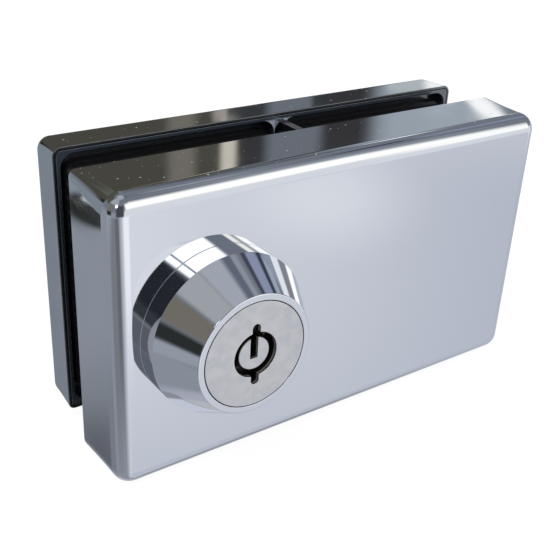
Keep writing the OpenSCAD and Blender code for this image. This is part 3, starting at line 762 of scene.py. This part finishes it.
def at_level(level):
    """Test for edges that lie at a level along y."""
    return lambda one, two: max(abs(one.y - level), abs(two.y - level)) < SAME_LEVEL


def outer_rim(low, high, level):
    """Test for edges at a level that run round the outside of a moulded body."""
    def outside(spot):
        return (min(spot.x - low.x, high.x - spot.x) < RIM_WIDTH
                or min(spot.z - low.z, high.z - spot.z) < RIM_WIDTH)
    return lambda one, two: at_level(level)(one, two) and outside(one) and outside(two)


def anywhere(one, two):
    """Test that takes every sharp edge."""
    return True


# Finishes


class Finish(Shader):
    """A material that is closed with one Principled shader."""

    def __init__(self, name):
        self.material = empty_material(name)
        super().__init__(self.material.node_tree)

    def spot(self, stretch=(1, 1, 1)):
        """Place on the object in millimetres, stretched by a factor on each axis."""
        place = self.node("ShaderNodeTexCoord", output="Object")
        factors = tuple(factor / MM for factor in stretch)
        return self.node("ShaderNodeVectorMath", {"operation": "MULTIPLY"}, {0: place, 1: factors})

    def noise(self, spot, scale, detail=2.0):
        values = {"Vector": spot, "Scale": scale, "Detail": detail}
        return self.node("ShaderNodeTexNoise", None, values)

    def axis(self, vector, name):
        return self.node("ShaderNodeSeparateXYZ", None, {0: vector}, name)

    def bump(self, height, depth):
        """Relief of a height from 0 to 1, with its full depth in millimetres."""
        values = {"Strength": 1.0, "Distance": depth * MM, "Height": height}
        return self.node("ShaderNodeBump", None, values)

    def facing(self, axis):
        """How far the surface looks along an axis of the object."""
        normal = self.node("ShaderNodeNewGeometry", output="Normal")
        return self.dot(normal, axis)

    def about_key(self):
        """How far the place lies to the right of the key axis and above it, in millimetres."""
        spot = self.spot()
        return self.axis(spot, "X") - LOCK_X / MM, self.axis(spot, "Z") - LOCK_Z / MM

    def behind_rose(self):
        """How far the place lies behind the rose's front, in millimetres."""
        return self.axis(self.spot(), "Y") - ROSE_LOW.y / MM

    def near_slot(self, near, far):
        """1 at the levels where the cases end at the slot, down to 0 at far millimetres off."""
        depth = self.axis(self.spot(), "Y")
        mask = 0
        for level in (FRONT_HIGH.y / MM, REAR_LOW.y / MM):
            mask = mask + abs(depth - level).ramp(near, far, 1, 0)
        return mask

    def specks(self, spacing, size, share):
        """Small round grains on the level faces, one to a cell, in a share of the cells."""
        settings = {"voronoi_dimensions": "2D"}
        values = {"Vector": self.spot(), "Scale": 1 / spacing}
        near = self.node("ShaderNodeTexVoronoi", settings, values, "Distance")
        chance = self.axis(self.node("ShaderNodeTexVoronoi", settings, values, "Color"), "X")
        radius = size / spacing
        grain = near.ramp(radius * 0.3, radius, 1, 0)
        return grain * chance.ramp(1 - share, 1 - share + 0.01)

    def close(self, values):
        surface = self.node("ShaderNodeBsdfPrincipled", values=values)
        self.node("ShaderNodeOutputMaterial", values={"Surface": surface})
        return self.material


def polished_steel():
    """Sheet polished to a mirror, with faint wipe marks, dust on top and a dull cut rim."""
    polished = (0.92, 0.93, 0.95)
    cut_metal = (0.27, 0.28, 0.29)
    dust_grey = (0.25, 0.24, 0.21)
    finish = Finish("polished_steel")
    wipes = finish.noise(finish.spot((0.05, 0.05, 0.25)), 1.0, 3.0)
    lines = finish.noise(finish.spot((0.3, 0.3, 14)), 1.0)
    cut = finish.near_slot(0.10, 0.17)
    top = finish.facing((0, 0, 1)).ramp(0.93, 0.97)
    grains = finish.specks(4.1, 0.24, 0.3) + finish.specks(2.6, 0.12, 0.3)
    dust = (grains * top).at_most(1.0)
    return finish.close({
        "Base Color": finish.mix(dust * 0.7, finish.mix(cut, polished, cut_metal), dust_grey),
        "Metallic": 1 - dust,
        "Roughness": wipes.ramp(0.35, 0.7, 0.035, 0.07) + dust * 0.5 + cut * 0.3,
        "Normal": finish.bump(lines, 0.00006)})


def rose_chrome():
    """Bright chrome over a turned cone that was polished along its slope."""
    chrome = (0.93, 0.94, 0.96)
    finish = Finish("rose_chrome")
    across, up = finish.about_key()
    streak = finish.node("ShaderNodeTexNoise", {"noise_dimensions": "1D"},
                         {"W": across.angle_to(up), "Scale": 45.0, "Detail": 2.0})
    return finish.close({
        "Base Color": rgba(chrome),
        "Metallic": 1.0,
        "Roughness": 0.025 + streak * 0.03})


def satin_nickel():
    """Lapped nickel of the cylinder's face, black with painted shade where the keyway is deep."""
    warm = (0.89, 0.86, 0.82)
    cool = (0.78, 0.77, 0.76)
    # near-black colour of the painted shade in the keyway
    keyway_shade = (0.012, 0.011, 0.010)
    finish = Finish("satin_nickel")
    depth = finish.behind_rose()
    across, up = finish.about_key()
    radius = (across * across + up * up) ** 0.5
    # painted shade: a dark ring round the post, and black deeper in the keyway, where little light
    # reaches
    round_post = depth.ramp(0.25, 0.9) * radius.ramp(3.2, 3.35)
    keyway_shaded = round_post.at_least(depth.ramp(0.8, 1.3))
    grain = finish.noise(finish.spot((4.0, 4.0, 1.4)), 1.0, 3.0)
    cloud = finish.noise(finish.spot(), 0.5, 4.0)
    nickel = finish.mix(cloud.ramp(0.3, 0.7), warm, cool)
    return finish.close({
        "Base Color": finish.mix(keyway_shaded, nickel, keyway_shade),
        "Metallic": 1 - keyway_shaded * 0.7,
        "Roughness": 0.24 + grain * 0.18,
        "Normal": finish.bump(grain, 0.009)})


def body_plastic():
    """Glossy black nylon, with a painted bluish sheen at its upper rims and a painted highlight at
    the root of the web.
    """
    black = (0.010, 0.013, 0.018)
    faded = (0.022, 0.028, 0.038)
    # painted sheen: a bluish colour that stands in for the light on the upper rims
    rim_sheen_blue = (0.040, 0.050, 0.069)
    # painted highlight: a pale bluish colour that stands in for the bright light on the upper
    # corners beside the web
    root_highlight = (0.58, 0.64, 0.78)
    finish = Finish("body_plastic")
    spot = finish.spot()
    grain = finish.noise(spot, 3.0, 3.0)
    bloom = finish.noise(spot, 0.25)
    aside = abs(finish.axis(spot, "X") - (WEB_LEFT + WEB_THICKNESS / 2) / MM)
    down = REAR_HIGH.z / MM - finish.axis(spot, "Z")
    # painted sheen near the slot's rims, fading downwards as the light on them does
    rim_sheen = finish.near_slot(0.1, 0.9) * down.ramp(3, 14, 1, 0)
    land = finish.near_slot(0.05, 0.2)
    # painted highlight at the web's root, with painted shade fading it downwards
    root = aside.ramp(3.3, 4.0, 1, 0) * land * down.ramp(1.2, 1.9) * down.ramp(2.6, 5.4, 1, 0)
    nylon = finish.mix(rim_sheen, finish.mix(bloom, black, faded), rim_sheen_blue)
    return finish.close({
        "Base Color": finish.mix(root, nylon, root_highlight),
        "IOR": 1.85,
        "Coat Weight": 1.0,
        "Coat Roughness": 0.08,
        "Coat IOR": 1.8,
        "Roughness": bloom.ramp(0.3, 0.7, 0.16, 0.26),
        "Normal": finish.bump(grain, 0.0015)})


def pad_rubber():
    """Black rubber with a fine matt grain."""
    black = (0.005, 0.005, 0.006)
    faded = (0.013, 0.013, 0.015)
    finish = Finish("pad_rubber")
    grain = finish.noise(finish.spot(), 6.0, 3.0)
    return finish.close({
        "Base Color": finish.mix(grain, black, faded),
        "Roughness": 0.34 + grain * 0.14,
        "Normal": finish.bump(grain, 0.006)})


def turned_metal(name, colour, tarnish, roughness):
    """Metal with fine grooves across the key axis and patches of tarnish, with painted shade where
    it lies just behind the rose's front, down the keyway.
    """
    # near-black colour of the painted shade down the keyway
    keyway_shade = (0.03, 0.028, 0.024)
    finish = Finish(name)
    groove = finish.noise(finish.spot((0.4, 9.0, 0.4)), 1.0)
    patch = finish.noise(finish.spot(), 0.35, 3.0)
    # painted shade on what lies within a few millimetres behind the rose's front
    keyway_shaded = finish.behind_rose().ramp(2.6, 3.6, 1, 0)
    metal = finish.mix(patch.ramp(0.35, 0.7), colour, tarnish)
    return finish.close({
        "Base Color": finish.mix(keyway_shaded, metal, keyway_shade),
        "Metallic": 1 - keyway_shaded * 0.6,
        "Roughness": roughness + patch * 0.12,
        "Normal": finish.bump(groove, 0.003)})


def finishes():
    """The finish of each material slot in the record."""
    coats = {
        "polished_steel": polished_steel(),
        "rose_chrome": rose_chrome(),
        "satin_nickel": satin_nickel(),
        "body_plastic": body_plastic(),
        "pad_rubber": pad_rubber(),
    }
    for name, (colour, tarnish, roughness) in TURNED_METALS.items():
        coats[name] = turned_metal(name, colour, tarnish, roughness)
    return coats


# Dressing the frame


def dress_nodes(coats):
    """Gives each CAD node the finish of its slot in the record."""
    for part in frame["record"]["subparts"]:
        node = NODES[part["node"]]
        node.data.materials.clear()
        node.data.materials.append(coats[part["material_slot"]])


def eased_pieces(coats):
    """The pieces whose form stays as in the frame, with the small round edges of the real ones."""
    front_rounds = [(BODY_RIM, outer_rim(FRONT_LOW, FRONT_HIGH, FRONT_HIGH.y)),
                    (BODY_LIP, at_level(FRONT_HIGH.y))]
    rear_rounds = [(BODY_RIM, outer_rim(REAR_LOW, REAR_HIGH, REAR_LOW.y)),
                   (BODY_LIP, at_level(REAR_LOW.y))]
    face_rounds = [(FINE_EDGE, at_level(ROSE_LOW.y))]
    post_rounds = [(FINE_EDGE, at_level(POST_LOW.y))]
    web_rounds = [(FINE_EDGE, anywhere)]
    pad_rounds = [(PAD_EDGE, anywhere)]
    front_change = follow_cover(FRONT_LOW, FRONT_HIGH, FRONT_LOW.y, 1, FRONT_CORNERS)
    rear_change = follow_cover(REAR_LOW, REAR_HIGH, REAR_HIGH.y, -1, REAR_CORNERS)
    for node, name, body, slot, rounds, change in (
            ("front_body", "front_liner", "root", "body_plastic", front_rounds, front_change),
            ("rear_body", "rear_liner", "root", "body_plastic", rear_rounds, rear_change),
            ("cylinder_housing", "cylinder_plug", "root", "satin_nickel", face_rounds, None),
            ("key_spindle", "keyway_post", "key", "satin_nickel", post_rounds, None),
            ("centre_web", "slot_web", "root", "web_steel", web_rounds, None),
            ("front_pad_left", "front_left_pad", "root", "pad_rubber", pad_rounds, None),
            ("front_pad_right", "front_right_pad", "root", "pad_rubber", pad_rounds, None),
            ("rear_pad_left", "rear_left_pad", "root", "pad_rubber", pad_rounds, None),
            ("rear_pad_right", "rear_right_pad", "root", "pad_rubber", pad_rounds, None)):
        place_piece(eased_copy(node, name, rounds, change), body, node, coats[slot])


def main():
    aim_camera()
    light_world()
    lay_floor()
    shade_slot()
    add_lamp()
    coats = finishes()
    dress_nodes(coats)
    front_cover(coats["polished_steel"])
    rear_cover(coats["polished_steel"])
    rose(coats["rose_chrome"])
    eased_pieces(coats)


main()
bpy.context.scene.view_settings.view_transform = "Standard"
